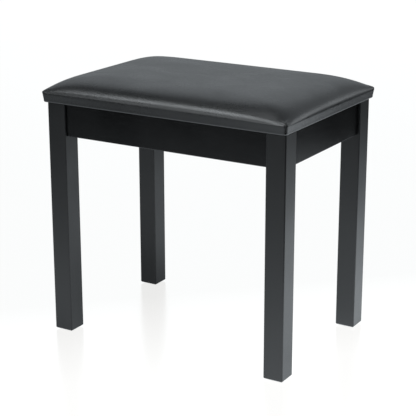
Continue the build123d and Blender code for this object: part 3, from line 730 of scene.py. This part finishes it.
# ---------------------------------------------------------------- studio
def studio_floor():
    """Pale floor that glows by itself, with a faint gloss; the uneven glow is painted light."""
    made, t = new_material("studio_floor")
    where = t.add("ShaderNodeTexCoord").outputs["Object"]
    split = t.add("ShaderNodeSeparateXYZ", {0: where})
    cloud = t.noise(where, 3.0, 2.0)
    # painted light: the floor's glow is a little brighter towards the front and the right
    slant = t.math("SUBTRACT", split.outputs[0], split.outputs[1])
    shader = t.add(
        "ShaderNodeBsdfPrincipled",
        {
            "Base Color": (0.0, 0.0, 0.0, 1.0),
            "Roughness": t.remap(cloud, 0.3, 0.7, 0.19, 0.22),
            "IOR": 2.6,
            "Emission Color": (1.0, 0.998, 0.988, 1.0),
            "Emission Strength": t.remap(slant, -0.26, 0.28, 0.82, 0.975),
        },
    )
    t.finish(shader.outputs[0])
    return made


def bounce_card():
    """White card under the object that lights it from below; brightest at the right, in shade at the left under the seat."""
    made, t = new_material("bounce_card")
    where = t.add("ShaderNodeTexCoord").outputs["Object"]
    split = t.add("ShaderNodeSeparateXYZ", {0: where})
    x, y = split.outputs[0], split.outputs[1]

    def square(value):
        return t.math("MULTIPLY", value, value)

    def away(value, middle, wide):
        return square(t.math("DIVIDE", t.math("SUBTRACT", value, middle), wide))

    right = t.math("SUBTRACT", x, 0.75)
    off_x = t.math("MAXIMUM", t.math("DIVIDE", right, -0.80), t.math("DIVIDE", right, 0.40))
    ahead = t.math("ADD", y, 0.165)
    along = t.math("MAXIMUM", t.math("DIVIDE", ahead, -0.56), t.math("DIVIDE", ahead, 0.75))
    reach = t.math("SQRT", t.math("ADD", t.math("ADD", square(off_x), square(along)), 0.05))
    pool = t.math("ADD", t.math("MULTIPLY", t.math("EXPONENT", t.math("MULTIPLY", reach, -1.0)), 2.9), 0.30)
    dim = t.math("ADD", away(x, -0.49, 0.59), away(y, 0.117, 0.318))
    shade = t.math("SUBTRACT", 1.0, t.math("MULTIPLY", t.math("EXPONENT", t.math("MULTIPLY", dim, -1.0)), 0.74))
    front = t.math("ADD", y, 0.10)
    off_y = t.math("MAXIMUM", t.math("MULTIPLY", front, -1.0), t.math("MULTIPLY", front, 1.18))
    middle = t.remap(y, -0.2, 0.7, 0.30, 0.75)
    far = t.math("SQRT", t.math("ADD", square(t.math("SUBTRACT", x, middle)), square(off_y)))
    level = t.math("MULTIPLY", t.math("MULTIPLY", pool, shade), t.remap(far, 1.40, 1.82, 1.0, 0.06, True))
    corner = t.math("SUBTRACT", t.math("MULTIPLY", x, 0.86), t.math("MULTIPLY", y, 0.50))
    level = t.math("MULTIPLY", level, t.remap(corner, 0.45, 0.95, 1.0, 0.12, True))

    def bump(value, middle, wide):
        return t.math("EXPONENT", t.math("MULTIPLY", away(value, middle, wide), -1.0))

    # a brighter streak from the rear right foot outwards, a small pool before the front left foot, and the far left
    side = t.math("SUBTRACT", t.math("MULTIPLY", y, 0.508), t.math("MULTIPLY", x, 0.861))
    rear = t.remap(y, -0.05, 0.25, 0.0, 1.0, True)
    streak = t.math("MULTIPLY", t.math("MULTIPLY", bump(side, -0.137, 0.08), 0.46), rear)
    dip = t.math("MULTIPLY", t.math("MULTIPLY", bump(side, 0.105, 0.08), -0.24), rear)
    level = t.math("MULTIPLY", level, t.math("ADD", t.math("ADD", streak, dip), 1.0))
    level = t.math("ADD", level, t.math("MULTIPLY", t.math("MULTIPLY", bump(x, -0.38, 0.25), bump(y, -0.42, 0.25)), 0.25))
    # brighter far behind, darker in the far right corner
    behind = t.math("MULTIPLY", bump(x, 0.56, 0.20), t.remap(y, 1.02, 1.30, 0.0, 2.4, True))
    beyond = t.math("MULTIPLY", t.remap(x, 0.76, 0.95, 0.0, 1.0, True), t.remap(y, 0.98, 1.25, 0.0, 0.55, True))
    level = t.math("MULTIPLY", level, t.math("ADD", t.math("SUBTRACT", behind, beyond), 1.0))
    left = t.math("MULTIPLY", t.remap(x, -1.55, -1.15, 1.0, 0.0, True), t.remap(y, -0.95, -0.55, 0.0, 1.0, True))
    level = t.math("ADD", level, t.math("MULTIPLY", left, 0.55))
    level = t.math("ADD", level, t.math("MULTIPLY", t.math("MULTIPLY", bump(x, -0.98, 0.30), bump(y, -1.0, 0.32)), 0.22))
    glow = t.add("ShaderNodeEmission", {"Color": (0.93, 1.0, 1.05, 1.0), "Strength": level})
    t.finish(glow.outputs[0])
    return made


def plane(name, half, cells, z):
    lines = np.linspace(-half, half, cells + 1)
    n = cells + 1
    points = [(x, y, z) for x in lines for y in lines]
    faces = [
        (i * n + j, (i + 1) * n + j, (i + 1) * n + j + 1, i * n + j + 1) for i in range(cells) for j in range(cells)
    ]
    made = mesh_object(name, points, faces, smooth=False)
    return made


floor = plane("studio_floor", 14.0, 28, -0.0002)
floor.data.materials.append(studio_floor())
floor.visible_diffuse = floor.visible_glossy = floor.visible_shadow = False
card = plane("bounce_card", 2.6, 26, -0.0010)
card.data.materials.append(bounce_card())
card.visible_camera = False


def softbox(name, at, to, width, height, radiance, colour=(0.95, 1.0, 1.03)):
    light = bpy.data.lights.new(name, "AREA")
    light.shape = "RECTANGLE"
    light.size, light.size_y = width, height
    light.energy = radiance * math.pi * width * height
    light.color = colour
    made = bpy.data.objects.new(name, light)
    made.location = at
    made.rotation_mode = "QUATERNION"
    made.rotation_quaternion = (Vector(to) - Vector(at)).to_track_quat("-Z", "Y")
    made.visible_camera = False
    scene.collection.objects.link(made)
    return made


softbox("key", (-0.98, -1.22, 2.30), (0.0, 0.0, 0.45), 0.95, 1.3, 4.6)
softbox("key_top", (-1.05, -0.62, 2.32), (0.0, -0.1, 0.45), 0.95, 0.45, 1.1)
softbox("low_front", (-0.88, -2.34, 1.08), (0.0, -0.1, 0.45), 1.5, 1.4, 1.8)
softbox("back_right", (0.89, 1.00, 0.85), (0.24, -0.12, 0.47), 0.44, 0.55, 1.4)
softbox("left_fill", (-2.7, 0.5, 1.05), (0.0, 0.0, 0.40), 1.7, 1.1, 0.8)
softbox("overhead", (0.0, 0.1, 2.8), (0.0, 0.0, 0.4), 1.6, 1.2, 1.5)

# studio surround: a low bright wall behind, dim elsewhere
world = bpy.data.worlds.new("studio")
scene.world = world
world.use_nodes = True
w = Tree(world)
aim = w.add("ShaderNodeTexCoord").outputs["Generated"]
split = w.add("ShaderNodeSeparateXYZ", {0: aim})
aside, high = split.outputs[0], split.outputs[2]
behind = w.add("ShaderNodeVectorMath", {0: aim, 1: (-0.26, 0.97, 0.0)}, operation="DOT_PRODUCT").outputs["Value"]
wall = w.math("MULTIPLY", w.remap(behind, -0.2, 0.65, 0.0, 1.0, True), w.remap(high, 0.62, 0.73, 1.0, 0.0, True))
wall = w.math("MULTIPLY", wall, w.remap(high, 0.25, 0.58, 0.42, 0.73))
# dimmer straight behind and at the far left, and reaching lower at the right
wall = w.math("MULTIPLY", wall, w.remap(aside, -0.60, -0.74, 1.0, 0.60, True))
wall = w.math("MULTIPLY", wall, w.remap(aside, -0.30, -0.08, 1.0, 0.60, True))
low = w.math("ADD", high, w.remap(aside, 0.30, 0.48, 0.0, 0.07, True))
wall = w.math("MULTIPLY", wall, w.remap(low, -0.06, 0.06, 0.22, 1.0, True))
wall = w.math("MULTIPLY", wall, w.remap(aside, 0.10, 0.32, 1.0, 1.6, True))
level = w.math("ADD", wall, 0.062)
fill = w.add("ShaderNodeBackground", {"Color": (0.93, 1.0, 1.05, 1.0), "Strength": level})
seen = w.add("ShaderNodeBackground", {"Color": (1.0, 1.0, 1.0, 1.0), "Strength": 1.0})
path = w.add("ShaderNodeLightPath")
both = w.add("ShaderNodeMixShader", {0: path.outputs["Is Camera Ray"], 1: fill.outputs[0], 2: seen.outputs[0]})
w.add("ShaderNodeOutputWorld", {"Surface": both.outputs[0]})
